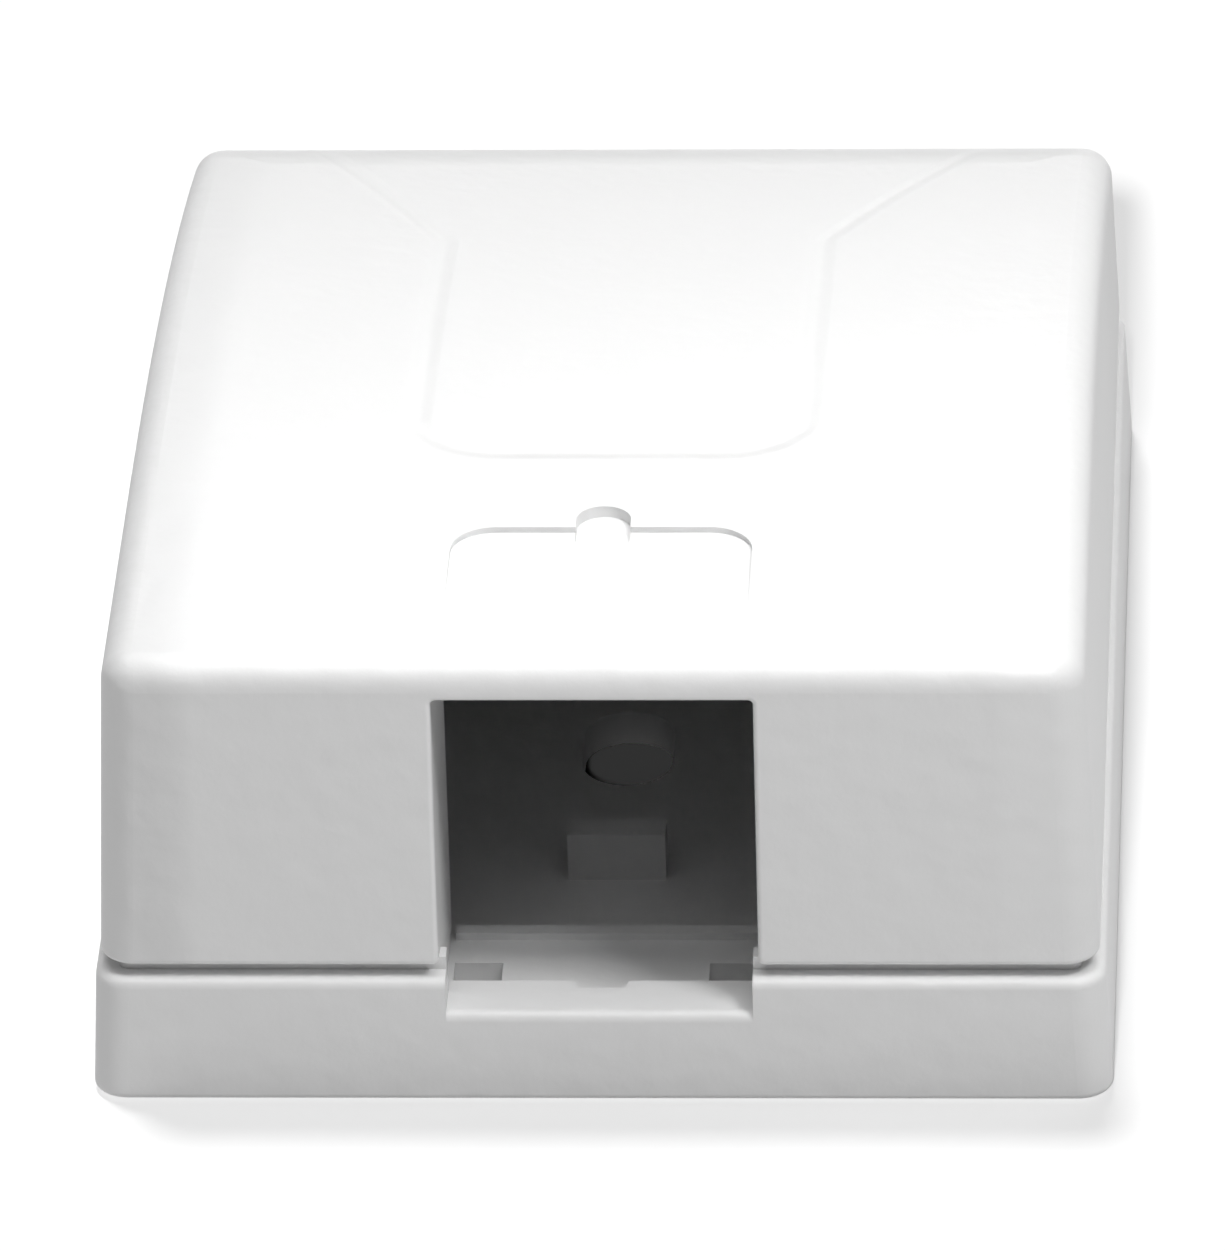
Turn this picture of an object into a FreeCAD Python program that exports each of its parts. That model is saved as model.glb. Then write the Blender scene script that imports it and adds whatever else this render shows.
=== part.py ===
"""One-port surface mount jack box: a base, a lift-off cover and two mounting tapes with their liners.

Frame: +Z up, +X to the right, the jack opening faces -Y.  The origin is under the middle of the box,
on the surface that it stands on.  Millimetres and degrees.
"""
import FreeCAD, Part
import math
import os

import Sketcher

# Driving dimensions: the alias in the sheet, the value, what it is.
SIZES = [
    ("box_width", 50.0, "outside width of the base at its foot"),
    ("box_depth", 70.0, "outside depth of the base at its foot"),
    ("box_height", 23.7, "height of the top over the base's underside, at the front"),
    ("base_height", 6.6, "height of the base's rim"),
    ("base_wall", 2.1, "thickness of the base's walls at the rim"),
    ("floor_thickness", 1.8, "thickness of the base's floor"),
    ("base_draft", 2.8, "lean of the base's outer faces"),
    ("cover_corner", 0.1, "upright corners inside the cover; the outer ones keep the wall's thickness"),
    ("inner_radius", 0.8, "upright corners inside the base"),
    ("rim_round", 0.5, "round along the outer edge of the base's rim"),
    ("edge_round", 0.3, "small rounds along the foot and the cover's lower edge"),
    ("seam_gap", 0.7, "height of the shadow gap between rim and cover"),
    ("seam_inset", 0.25, "how far the cover stands in from the rim"),
    ("seam_depth", 0.9, "how deep the shadow gap runs in under the cover"),
    ("cover_wall", 1.6, "thickness of the cover's walls and roof"),
    ("cover_draft", 2.3, "lean of the cover's outer faces"),
    ("top_round", 1.5, "round between the top and the sides"),
    ("top_flat", 20.0, "length of the level part of the top, from the front"),
    ("top_radius", 172.0, "radius of the long curve that falls to the back"),
    ("opening_width", 15.6, "width of the jack opening in the cover"),
    ("opening_top", 21.8, "height of the top of the jack opening"),
    ("opening_round", 0.25, "round along the edge of the jack opening"),
    ("notch_width", 15.0, "width of the jack notch in the base"),
    ("sill_height", 4.8, "height of the sill under the jack"),
    ("sill_depth", 3.4, "depth of the sill from the front"),
    ("sill_round", 0.5, "round along the sill's front edge"),
    ("scoop_width", 2.6, "width of the scoop in the sill's rear edge"),
    ("scoop_depth", 0.4, "depth of that scoop"),
    ("bay_depth", 10.4, "depth of the jack bay from the front"),
    ("bay_wall", 1.2, "thickness of the bay's side walls"),
    ("bay_clearance", 0.25, "gap between the bay's side walls and the base"),
    ("seat_height", 3.4, "height of the jack's seat behind the sill"),
    ("seat_ridge_height", 0.4, "height of the stop ridge at the rear of the seat"),
    ("seat_ridge_depth", 0.8, "thickness of that ridge"),
    ("lug_slot_width", 2.4, "width of the slots behind the sill for the jack's lugs"),
    ("lug_slot_depth", 4.0, "length of those slots, front to back"),
    ("lug_slot_floor", 1.0, "thickness left under those slots"),
    ("stop_width", 4.9, "width of the stop tab behind the jack"),
    ("stop_height", 4.4, "height of the stop tab's top"),
    ("stop_thickness", 1.6, "thickness of the stop tab at its top"),
    ("stop_foot", 3.0, "thickness of the stop tab at the floor"),
    ("stop_place", 18.2, "distance of the stop tab's front face from the front"),
    ("screw_slot_width", 4.6, "width of the mounting screw slots"),
    ("screw_slot_length", 7.4, "length of the mounting screw slots"),
    ("screw_slot_place", 31.3, "distance of the front screw slot's middle from the front"),
    ("screw_slot_spacing", 27.0, "distance between the two screw slots"),
    ("cable_hole_diameter", 11.0, "hole in the floor for a cable from the wall"),
    ("tape_width", 12.0, "width of each mounting tape"),
    ("tape_length", 54.0, "length of each mounting tape"),
    ("tape_thickness", 0.9, "thickness of the foam tape"),
    ("liner_thickness", 0.1, "thickness of the tape's release liner"),
    ("tape_well", 0.8, "depth of the wells that the tapes sit in"),
    ("tape_margin", 0.3, "gap between a tape and the edge of its well"),
    ("tape_edge", 5.0, "distance of each tape's outer edge from the side of the base"),
    ("tab_length", 6.0, "length of the tabs that locate the cover"),
    ("tab_thickness", 1.1, "thickness of those tabs"),
    ("tab_height", 9.6, "height of those tabs"),
    ("tab_clearance", 0.15, "gap between a tab and the cover's wall"),
    ("side_tab_spacing", 42.0, "distance between the two locating tabs of a side"),
    ("rear_tab_spacing", 26.0, "distance between the two locating tabs of the rear"),
    ("snap_tab_length", 8.0, "length of the snap tab in the middle of each side"),
    ("snap_tab_height", 12.0, "height of the snap tabs"),
    ("snap_bead", 0.3, "how far the snap beads stand out"),
    ("snap_bead_height", 0.9, "height of the snap beads"),
    ("snap_clearance", 0.06, "gap between the tips of two beads as they pass"),
    ("label_width", 14.8, "width of the label recess"),
    ("label_back", 15.1, "distance of the label recess's rear edge from the front"),
    ("label_front", 5.0, "distance from the front where the label recess runs out"),
    ("label_depth", 0.3, "depth of the label recess at its rear edge"),
    ("label_radius", 2.2, "rear corners of the label recess"),
    ("pick_width", 2.7, "width of the finger notch at the label recess"),
    ("pick_reach", 2.1, "how far the finger notch reaches behind the label recess"),
    ("pick_depth", 0.6, "depth of the finger notch"),
    ("panel_width", 19.4, "width of the shallow panel on the top"),
    ("panel_front", 22.7, "distance of the panel's front edge from the front"),
    ("panel_radius", 4.0, "front corners of the panel"),
    ("panel_depth", 0.2, "depth of the panel"),
    ("flare_start", 50.0, "distance from the front where the panel starts to flare"),
    ("flare_width", 36.0, "width of the flared panel at the rear of the box"),
    ("flare_radius", 6.0, "radius of the bend where the flare starts"),
    ("knockout_width", 11.0, "width of the cable knockout in the rear wall"),
    ("knockout_height", 6.6, "height of the knockout's crown over the cover's lower edge"),
    ("knockout_recess", 0.6, "depth of the knockout's outer recess at the cover's lower edge"),
    ("knockout_web", 0.5, "thickness of the web that closes the knockout"),
]
VALUE = {alias: value for alias, value, meaning in SIZES}

# Places that several pieces share, as expressions on the sheet.
HALF_WIDTH = "sizes.box_width / 2"
HALF_DEPTH = "sizes.box_depth / 2"
RIM_INSET = "sizes.base_height * tan(sizes.base_draft)"
SEAM_TOP = "(sizes.base_height + sizes.seam_gap)"
COVER_INSET = f"({RIM_INSET} + sizes.seam_inset)"
INNER_INSET = f"({RIM_INSET} + sizes.base_wall)"
COVER_LEAN = "tan(sizes.cover_draft)"
TAPE_MIDDLE = f"({HALF_WIDTH} - sizes.tape_edge - sizes.tape_width / 2)"
STAND_OFF = "(sizes.tape_thickness + sizes.liner_thickness - sizes.tape_well)"
FRONT = f"(-{HALF_DEPTH})"
CORNER_RADIUS = "(sizes.cover_wall + sizes.cover_corner)"

document = FreeCAD.newDocument("jack_box")


def from_front(distance):
    """The Y of a place given by its distance from the front of the base."""
    return f"({FRONT} + {distance})"


def make_sheet():
    """The sheet that holds the driving dimensions, one to a row."""
    sheet = document.addObject("Spreadsheet::Sheet", "sizes")
    for row, (alias, value, meaning) in enumerate(SIZES, start=1):
        sheet.set(f"A{row}", alias)
        sheet.set(f"B{row}", str(value))
        sheet.set(f"C{row}", meaning)
        sheet.setAlias(f"B{row}", alias)
    document.recompute()


# ---- sketches ------------------------------------------------------------------------------------

def origin_plane(body, role):
    """One of a body's own origin planes: XY_Plane, XZ_Plane or YZ_Plane."""
    return next(plane for plane in body.Origin.OriginFeatures if plane.Role == role)


def new_sketch(body, name, role, offset="0"):
    """An empty sketch on an origin plane, moved along the plane's normal by an expression."""
    sketch = body.newObject("Sketcher::SketchObject", name)
    sketch.AttachmentSupport = (origin_plane(body, role), [""])
    sketch.MapMode = "FlatFace"
    sketch.setExpression("AttachmentOffset.Base.z", offset)
    return sketch


def place_point(sketch, geometry, end, across, up):
    """Ties one point of a sketch to the origin by two expressions."""
    for kind, expression in (("DistanceX", across), ("DistanceY", up)):
        point = sketch.getPoint(geometry, end)
        start = point.x if kind == "DistanceX" else point.y
        constraint = sketch.addConstraint(Sketcher.Constraint(kind, -1, 1, geometry, end, start))
        sketch.setExpression(f"Constraints[{constraint}]", expression)


def polygon(body, name, role, corners, offset="0"):
    """A closed outline whose corners are pairs of expressions in the plane's own axes."""
    sketch = new_sketch(body, name, role, offset)
    count = len(corners)
    ring = [FreeCAD.Vector(math.cos(2 * math.pi * i / count), math.sin(2 * math.pi * i / count), 0)
            for i in range(count)]
    for i in range(count):
        sketch.addGeometry(Part.LineSegment(ring[i], ring[(i + 1) % count]))
    for i, (across, up) in enumerate(corners):
        sketch.addConstraint(Sketcher.Constraint("Coincident", i, 2, (i + 1) % count, 1))
        place_point(sketch, i, 1, across, up)
    return sketch


def rectangle(body, name, role, low, high, offset="0"):
    """A rectangle given by its low and high corners, each a pair of expressions."""
    corners = [low, (high[0], low[1]), high, (low[0], high[1])]
    return polygon(body, name, role, corners, offset)


def circle(body, name, role, across, up, radius, offset="0"):
    """A circle whose centre and radius are expressions."""
    sketch = new_sketch(body, name, role, offset)
    sketch.addGeometry(Part.Circle(FreeCAD.Vector(1, 1, 0), FreeCAD.Vector(0, 0, 1), 1))
    place_point(sketch, 0, 3, across, up)
    size = sketch.addConstraint(Sketcher.Constraint("Radius", 0, 1))
    sketch.setExpression(f"Constraints[{size}]", radius)
    return sketch


def slot(body, name, role, across, up, width, length, offset="0"):
    """A slot with round ends that runs up the plane, centred on a place given by expressions."""
    sketch = new_sketch(body, name, role, offset)
    up_axis = FreeCAD.Vector(0, 0, 1)
    top = Part.Circle(FreeCAD.Vector(0, 1, 0), up_axis, 1)
    bottom = Part.Circle(FreeCAD.Vector(0, -1, 0), up_axis, 1)
    sketch.addGeometry(Part.ArcOfCircle(top, 0, math.pi))
    sketch.addGeometry(Part.LineSegment(FreeCAD.Vector(-1, 1, 0), FreeCAD.Vector(-1, -1, 0)))
    sketch.addGeometry(Part.ArcOfCircle(bottom, math.pi, 2 * math.pi))
    sketch.addGeometry(Part.LineSegment(FreeCAD.Vector(1, -1, 0), FreeCAD.Vector(1, 1, 0)))
    for piece in range(4):
        sketch.addConstraint(Sketcher.Constraint("Tangent", piece, 2, (piece + 1) % 4, 1))
    sketch.addConstraint(Sketcher.Constraint("Equal", 0, 2))
    size = sketch.addConstraint(Sketcher.Constraint("Radius", 0, 1))
    sketch.setExpression(f"Constraints[{size}]", f"{width} / 2")
    reach = f"({length} - {width}) / 2"
    place_point(sketch, 0, 3, across, f"{up} + {reach}")
    place_point(sketch, 2, 3, across, f"{up} - {reach}")
    return sketch


# ---- features ------------------------------------------------------------------------------------

def new_body(name, lift="0"):
    """A body whose label names its file, raised by an expression."""
    body = document.addObject("PartDesign::Body", name)
    body.Label = name
    body.setExpression("Placement.Base.z", lift)
    return body


def pad(body, name, sketch, length, symmetric=False, downward=False):
    """Adds the sketch's outline to the body."""
    feature = body.newObject("PartDesign::Pad", name)
    feature.Profile = sketch
    feature.SideType = "Symmetric" if symmetric else "One side"
    feature.Reversed = downward
    feature.setExpression("Length", length)
    document.recompute()
    return feature


def pocket(body, name, sketch, length, symmetric=False, upward=False):
    """Cuts the sketch's outline out of the body, against the plane's normal unless upward."""
    before = body.Shape.Volume
    feature = body.newObject("PartDesign::Pocket", name)
    feature.Profile = sketch
    feature.SideType = "Symmetric" if symmetric else "One side"
    feature.Reversed = upward
    feature.setExpression("Length", length)
    document.recompute()
    if not body.Shape.Volume < before:
        raise RuntimeError(f"{name} cuts nothing")
    return feature


def edge_names(feature, test):
    """The names of a feature's edges that pass a test."""
    return [f"Edge{i}" for i, edge in enumerate(feature.Shape.Edges, start=1) if test(edge)]


def fillet(body, name, base, test, radius):
    """Rounds the edges of the base feature that pass a test."""
    feature = body.newObject("PartDesign::Fillet", name)
    feature.Base = (base, edge_names(base, test))
    feature.setExpression("Radius", radius)
    document.recompute()
    return feature


def draft(body, name, base, neutral_height, angle):
    """Leans a block's upright faces inwards from the height where they keep their place."""
    faces = base.Shape.Faces
    upright = [f"Face{i}" for i, face in enumerate(faces, start=1) if abs(face.normalAt(0, 0).z) < 0.5]
    neutral = next(f"Face{i}" for i, face in enumerate(faces, start=1)
                   if abs(face.CenterOfMass.z - neutral_height) < 1e-6)
    feature = body.newObject("PartDesign::Draft", name)
    feature.Base = (base, upright)
    feature.NeutralPlane = (base, [neutral])
    feature.setExpression("Angle", angle)
    document.recompute()
    return feature


def mirror(body, name, originals, role="YZ_Plane"):
    """Repeats features on the other side of an origin plane."""
    feature = body.newObject("PartDesign::Mirrored", name)
    feature.Originals = originals
    feature.MirrorPlane = (origin_plane(body, role), [""])
    body.Tip = feature
    document.recompute()
    return feature


def corner_edge(edge):
    """True for an upright or nearly upright edge."""
    start, end = edge.Vertexes[0].Point, edge.Vertexes[-1].Point
    run = end - start
    return len(edge.Vertexes) == 2 and abs(run.z) > 3 * math.hypot(run.x, run.y)


def level_edge_at(height):
    """A test for edges that lie level at a height."""
    def test(edge):
        box = edge.BoundBox
        return abs(box.ZMin - height) < 1e-4 and abs(box.ZMax - height) < 1e-4
    return test


def faces_up(face):
    """True for a face of the roof's outside."""
    low_u, high_u, low_v, high_v = face.ParameterRange
    return face.normalAt((low_u + high_u) / 2, (low_v + high_v) / 2).z > 0.9


def reaches_past(margin):
    """A test for edges of the cover's outside, which reach nearer than a margin to its outline."""
    inset = VALUE["base_height"] * math.tan(math.radians(VALUE["base_draft"])) + VALUE["seam_inset"] + margin
    limit_x = VALUE["box_width"] / 2 - inset
    limit_y = VALUE["box_depth"] / 2 - inset

    def test(edge):
        box = edge.BoundBox
        return max(-box.XMin, box.XMax) > limit_x or max(-box.YMin, box.YMax) > limit_y
    return test


def both(first, second):
    """A test that holds where both tests hold."""
    return lambda edge: first(edge) and second(edge)


# ---- base ----------------------------------------------------------------------------------------

def base_shell(body):
    """The tray: leaning walls, the rim with its rebate for the shadow gap, and the hollow inside."""
    outline = rectangle(body, "foot_outline", "XY_Plane", (f"-{HALF_WIDTH}", FRONT), (HALF_WIDTH, HALF_DEPTH))
    block = pad(body, "foot_block", outline, "sizes.base_height")
    leaning = draft(body, "foot_lean", block, 0, "sizes.base_draft")
    rounded = fillet(body, "foot_corners", leaning, corner_edge, CORNER_RADIUS)
    rim = level_edge_at(VALUE["base_height"])
    rounded = fillet(body, "rim_rounding", rounded, rim, "sizes.rim_round")
    fillet(body, "foot_round", rounded, level_edge_at(0), "sizes.edge_round")

    step = f"({COVER_INSET} + sizes.seam_depth)"
    corner = (f"{HALF_WIDTH} - {step}", f"{HALF_DEPTH} - {step}")
    outline = rectangle(body, "step_outline", "XY_Plane", (f"-({corner[0]})", f"-({corner[1]})"), corner,
                        "sizes.base_height")
    raised = pad(body, "seam_step", outline, "sizes.seam_gap")
    above_rim = both(corner_edge, lambda edge: edge.BoundBox.ZMin > VALUE["base_height"] - 1e-4)
    fillet(body, "step_corners", raised, above_rim, f"{CORNER_RADIUS} - sizes.seam_inset - sizes.seam_depth")

    corner = (f"{HALF_WIDTH} - {INNER_INSET}", f"{HALF_DEPTH} - {INNER_INSET}")
    outline = rectangle(body, "hollow_outline", "XY_Plane", (f"-({corner[0]})", f"-({corner[1]})"), corner,
                        SEAM_TOP)
    hollow = pocket(body, "hollow", outline, f"{SEAM_TOP} - sizes.floor_thickness")
    floor_to_top = both(corner_edge, lambda edge: abs(edge.BoundBox.ZMin - VALUE["floor_thickness"]) < 1e-4)
    fillet(body, "hollow_corners", hollow, floor_to_top, "sizes.inner_radius")


def jack_seat(body):
    """The notch in the front wall, its sill, and the seat with its lug slots and stop ridge."""
    half_seat = "(sizes.opening_width / 2 + sizes.bay_wall)"
    rear = from_front("sizes.bay_depth")
    outline = rectangle(body, "seat_outline", "XY_Plane", (f"-{half_seat}", from_front("sizes.base_wall / 2")),
                        (half_seat, rear))
    pad(body, "seat", outline, "sizes.seat_height")

    half_notch = "sizes.notch_width / 2"
    outline = rectangle(body, "sill_outline", "XY_Plane", (f"-{half_notch}", from_front("sizes.base_wall / 2")),
                        (half_notch, from_front("sizes.sill_depth")))
    pad(body, "sill", outline, "sizes.sill_height")

    outline = rectangle(body, "notch_outline", "XZ_Plane", (f"-{half_notch}", "sizes.sill_height"),
                        (half_notch, f"{SEAM_TOP} + sizes.sill_height"), HALF_DEPTH)
    notch = pocket(body, "jack_notch", outline, "sizes.bay_depth")
    front_limit = VALUE["base_wall"] / 2 - VALUE["box_depth"] / 2
    sill_edge = both(level_edge_at(VALUE["sill_height"]), lambda edge: edge.BoundBox.YMax < front_limit)
    fillet(body, "sill_front_round", notch, sill_edge, "sizes.sill_round")

    half_bay = "(sizes.opening_width / 2 - sizes.bay_clearance)"
    ridge_front = f"({rear} - sizes.seat_ridge_depth)"
    outline = rectangle(body, "ridge_outline", "XY_Plane", (f"-{half_bay}", ridge_front), (half_bay, rear),
                        "sizes.floor_thickness")
    pad(body, "seat_ridge", outline, "sizes.seat_height + sizes.seat_ridge_height - sizes.floor_thickness")

    inner = f"(-{half_notch} + sizes.lug_slot_width)"
    sill_rear = from_front("sizes.sill_depth")
    outline = rectangle(body, "lug_slot_outline", "XY_Plane", (f"-{half_notch}", sill_rear),
                        (inner, f"{sill_rear} + sizes.lug_slot_depth"), "sizes.seat_height")
    left = pocket(body, "lug_slot", outline, "sizes.seat_height - sizes.lug_slot_floor")
    mirror(body, "lug_slots", [left])

    outline = circle(body, "scoop_outline", "XY_Plane", "0", sill_rear, "sizes.scoop_width / 2",
                     "sizes.sill_height")
    pocket(body, "sill_scoop", outline, "sizes.scoop_depth")


def stop_tab(body):
    """The tab on the floor that stops the jack from being pushed in, with a sloping back."""
    front = from_front("sizes.stop_place")
    corners = [(front, "sizes.floor_thickness / 2"),
               (f"{front} + sizes.stop_foot", "sizes.floor_thickness / 2"),
               (f"{front} + sizes.stop_foot", "sizes.floor_thickness"),
               (f"{front} + sizes.stop_thickness", "sizes.stop_height"),
               (front, "sizes.stop_height")]
    outline = polygon(body, "stop_outline", "YZ_Plane", corners)
    pad(body, "stop_tab", outline, "sizes.stop_width", symmetric=True)


def floor_openings(body):
    """The two screw slots and the cable hole through the floor, on the centre line."""
    places = ["sizes.screw_slot_place", "sizes.screw_slot_place + sizes.screw_slot_spacing"]
    for number, place in enumerate(places, start=1):
        outline = slot(body, f"screw_slot_{number}_outline", "XY_Plane", "0", from_front(place),
                       "sizes.screw_slot_width", "sizes.screw_slot_length")
        pocket(body, f"screw_slot_{number}", outline, "sizes.floor_thickness", upward=True)
    middle = from_front("(sizes.screw_slot_place + sizes.screw_slot_spacing / 2)")
    outline = circle(body, "cable_hole_outline", "XY_Plane", "0", middle, "sizes.cable_hole_diameter / 2")
    pocket(body, "cable_hole", outline, "sizes.floor_thickness", upward=True)


def tape_wells(body):
    """The two shallow wells under the floor that the mounting tapes sit in."""
    half_width = "(sizes.tape_width / 2 + sizes.tape_margin)"
    half_length = "(sizes.tape_length / 2 + sizes.tape_margin)"
    outline = rectangle(body, "tape_well_outline", "XY_Plane",
                        (f"{TAPE_MIDDLE} - {half_width}", f"-{half_length}"),
                        (f"{TAPE_MIDDLE} + {half_width}", half_length))
    well = pocket(body, "tape_well", outline, "sizes.tape_well", upward=True)
    mirror(body, "tape_wells", [well])


def tab_outline(body, name, role, inner_face, gap, height, offset):
    """A tab's outline: a root inside the base's wall and an upper part clear of the cover's wall."""
    outer = f"({inner_face} - {gap})"
    inner = f"({outer} - sizes.tab_thickness)"
    root = f"({inner_face} + sizes.cover_wall / 2)"
    foot = "sizes.floor_thickness / 2"
    shoulder = f"({SEAM_TOP} - sizes.edge_round)"
    corners = [(inner, foot), (root, foot), (root, shoulder), (outer, shoulder), (outer, height), (inner, height)]
    return polygon(body, name, role, corners, offset)


def cover_face(half_size, height):
    """The distance of the cover's inner wall face from the middle, at a height."""
    return f"({half_size} - {COVER_INSET} - sizes.cover_wall - ({height} - {SEAM_TOP}) * {COVER_LEAN})"


def cover_tabs(body):
    """The tabs that locate the cover, and on each side one snap tab with its bead."""
    side_face = cover_face(HALF_WIDTH, "sizes.tab_height")
    start = "sizes.side_tab_spacing / 2 - sizes.tab_length / 2"
    outline = tab_outline(body, "side_tab_outline", "XZ_Plane", side_face, "sizes.tab_clearance",
                          "sizes.tab_height", start)
    tab = pad(body, "side_tab", outline, "sizes.tab_length")
    across = mirror(body, "side_tabs_across", [tab])
    outline = tab_outline(body, "rear_side_tab_outline", "XZ_Plane", side_face, "sizes.tab_clearance",
                          "sizes.tab_height", f"-({start})")
    tab = pad(body, "rear_side_tab", outline, "sizes.tab_length", downward=True)
    mirror(body, "rear_side_tabs", [tab])

    rear_face = cover_face(HALF_DEPTH, "sizes.tab_height")
    start = "sizes.rear_tab_spacing / 2 - sizes.tab_length / 2"
    outline = tab_outline(body, "rear_tab_outline", "YZ_Plane", rear_face, "sizes.tab_clearance",
                          "sizes.tab_height", start)
    tab = pad(body, "rear_tab", outline, "sizes.tab_length")
    mirror(body, "rear_tabs", [tab])

    gap = "(2 * sizes.snap_bead + sizes.snap_clearance)"
    snap_face = cover_face(HALF_WIDTH, "sizes.snap_tab_height")
    outline = tab_outline(body, "snap_tab_outline", "XZ_Plane", snap_face, gap, "sizes.snap_tab_height", "0")
    tab = pad(body, "snap_tab", outline, "sizes.snap_tab_length", symmetric=True)
    outer = f"({snap_face} - {gap})"
    top = "sizes.snap_tab_height"
    bead = [(f"{outer} - sizes.tab_thickness / 2", f"{top} - sizes.snap_bead_height"),
            (outer, f"{top} - sizes.snap_bead_height"),
            (f"{outer} + sizes.snap_bead", f"{top} - sizes.snap_bead_height / 2"),
            (outer, top),
            (f"{outer} - sizes.tab_thickness / 2", top)]
    outline = polygon(body, "base_bead_outline", "XZ_Plane", bead)
    rib = pad(body, "base_bead", outline, "sizes.snap_tab_length", symmetric=True)
    mirror(body, "snap_tabs", [tab, rib])


def make_base():
    """The lower moulding."""
    body = new_body("base", STAND_OFF)
    base_shell(body)
    jack_seat(body)
    stop_tab(body)
    floor_openings(body)
    tape_wells(body)
    cover_tabs(body)
    return body


# ---- cover ---------------------------------------------------------------------------------------

def top_profile(body, name, top, far_side):
    """The space between the top's side profile and a far side, both heights given by expressions.

    The profile is level from the front and then falls to the back in one long arc."""
    sketch = new_sketch(body, name, "YZ_Plane")
    reach, crown, radius = VALUE["box_depth"], VALUE["top_flat"] - VALUE["box_depth"] / 2, VALUE["top_radius"]
    height, far = VALUE["box_height"], 2 * VALUE["box_height"]
    fall = math.acos((reach - crown) / radius)
    centre = FreeCAD.Vector(crown, height - radius, 0)
    long_circle = Part.Circle(centre, FreeCAD.Vector(0, 0, 1), radius)
    low_end = centre + FreeCAD.Vector(radius * math.cos(fall), radius * math.sin(fall), 0)
    ring = [FreeCAD.Vector(-reach, height, 0), FreeCAD.Vector(crown, height, 0), low_end,
            FreeCAD.Vector(reach, far, 0), FreeCAD.Vector(-reach, far, 0)]
    sketch.addGeometry(Part.LineSegment(ring[0], ring[1]))
    sketch.addGeometry(Part.ArcOfCircle(long_circle, fall, math.pi / 2))
    for start, end in ((2, 3), (3, 4), (4, 0)):
        sketch.addGeometry(Part.LineSegment(ring[start], ring[end]))
    for first, end, second, start in ((0, 2, 1, 2), (1, 1, 2, 1), (2, 2, 3, 1), (3, 2, 4, 1), (4, 2, 0, 1)):
        sketch.addConstraint(Sketcher.Constraint("Coincident", first, end, second, start))
    place_point(sketch, 0, 1, "-sizes.box_depth", top)
    place_point(sketch, 0, 2, from_front("sizes.top_flat"), top)
    place_point(sketch, 1, 3, from_front("sizes.top_flat"), "sizes.box_height - sizes.top_radius")
    span = sketch.addConstraint(Sketcher.Constraint("DistanceX", -1, 1, 1, 1, reach))
    sketch.setExpression(f"Constraints[{span}]", "sizes.box_depth")
    place_point(sketch, 3, 1, "sizes.box_depth", far_side)
    place_point(sketch, 4, 1, "-sizes.box_depth", far_side)
    return sketch


def cover_shell(body):
    """The cover's hollow form: leaning walls, the falling top, and one wall thickness all over."""
    corner = (f"{HALF_WIDTH} - {COVER_INSET}", f"{HALF_DEPTH} - {COVER_INSET}")
    outline = rectangle(body, "cover_outline", "XY_Plane", (f"-({corner[0]})", f"-({corner[1]})"), corner,
                        SEAM_TOP)
    block = pad(body, "cover_block", outline, f"sizes.box_height - {SEAM_TOP}")
    seam_top = VALUE["base_height"] + VALUE["seam_gap"]
    leaning = draft(body, "cover_lean", block, seam_top, "sizes.cover_draft")
    fillet(body, "cover_corners", leaning, corner_edge, CORNER_RADIUS)
    curve = top_profile(body, "top_outline", "sizes.box_height", "2 * sizes.box_height")
    shaped = pocket(body, "top_curve", curve, "2 * sizes.box_width", symmetric=True)

    under = next(f"Face{i}" for i, face in enumerate(shaped.Shape.Faces, start=1)
                 if abs(face.CenterOfMass.z - seam_top) < 1e-6)
    hollow = body.newObject("PartDesign::Thickness", "cover_hollow")
    hollow.Base = (shaped, [under])
    hollow.Mode = "Skin"
    hollow.Join = "Arc"
    hollow.Reversed = True
    hollow.setExpression("Value", "sizes.cover_wall")
    document.recompute()

    roof_edges = [edge for face in hollow.Shape.Faces if faces_up(face) for edge in face.Edges]
    fillet(body, "top_rounds", hollow, lambda edge: sum(edge.isSame(other) for other in roof_edges) == 1,
           "sizes.top_round")


def jack_opening(body):
    """The opening in the front wall, with its edge rounded, and the round along the lower edge."""
    half = "sizes.opening_width / 2"
    outline = rectangle(body, "opening_outline", "XZ_Plane", (f"-{half}", f"{SEAM_TOP} / 2"),
                        (half, "sizes.opening_top"), HALF_DEPTH)
    opening = pocket(body, "jack_opening", outline, "sizes.bay_depth / 2")
    seam_top = VALUE["base_height"] + VALUE["seam_gap"]
    outside = reaches_past(VALUE["cover_wall"] / 2)
    within = VALUE["opening_width"] / 2 + 1e-3

    def opening_edge(edge):
        box = edge.BoundBox
        at_front = box.YMax < 0 and max(-box.XMin, box.XMax) < within
        return outside(edge) and at_front and box.ZMax > seam_top + 1e-3 and box.ZMax < VALUE["opening_top"] + 1e-3
    rounded = fillet(body, "opening_rounds", opening, opening_edge, "sizes.opening_round")
    lower = both(level_edge_at(seam_top), both(outside, lambda edge: edge.Length > VALUE["cover_wall"] * 1.5))
    fillet(body, "cover_edge_round", rounded, lower, "sizes.edge_round")


def jack_bay(body):
    """The two side walls of the jack bay, which hang from the roof down to the seat."""
    top = "sizes.box_height - sizes.cover_wall / 2"
    in_wall = from_front(f"({COVER_INSET} + sizes.cover_wall * 3 / 4)")
    behind_wall = from_front(f"({INNER_INSET} + sizes.bay_clearance)")
    rear = from_front("sizes.bay_depth")
    low = "sizes.seat_height + sizes.bay_clearance"
    corners = [(in_wall, SEAM_TOP), (behind_wall, SEAM_TOP), (behind_wall, low), (rear, low), (rear, top),
               (in_wall, top)]
    outline = polygon(body, "bay_outline", "YZ_Plane", corners, "sizes.opening_width / 2")
    wall = pad(body, "bay_wall", outline, "sizes.bay_wall")
    mirror(body, "bay_walls", [wall])


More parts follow.
